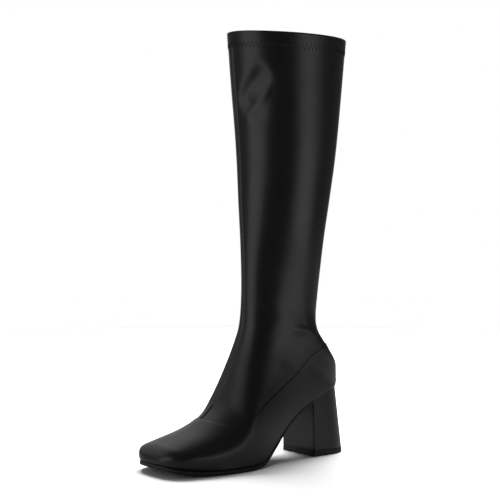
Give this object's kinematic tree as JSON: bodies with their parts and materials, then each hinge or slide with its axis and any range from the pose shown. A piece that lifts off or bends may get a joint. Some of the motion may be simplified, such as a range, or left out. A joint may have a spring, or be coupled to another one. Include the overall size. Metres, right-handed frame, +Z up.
{
  "type": "knee-high boot",
  "caption": "Knee-high pull-on boot with a squared toe, a smooth stretch shaft with a folded hem, and a flared block heel.",
  "frame": {"origin": "on the floor, under the middle of the boot's footprint", "axes": "+Z up along the shaft, -Y towards the toe, +X towards the outer side of the left foot"},
  "size_m": [0.1102, 0.2428, 0.444],
  "materials": {
    "foot_leather": "satin",
    "stretch_leather": "satin",
    "sock_lining": "matt",
    "sole_rubber": "matt",
    "heel_wrap": "satin",
    "lift_rubber": "matt"
  },
  "bodies": {
    "root": {"upper": "foot_leather", "shaft": "stretch_leather", "insole": "sock_lining", "outsole": "sole_rubber", "heel": "heel_wrap", "top_lift": "lift_rubber"}
  },
  "joints": []
}
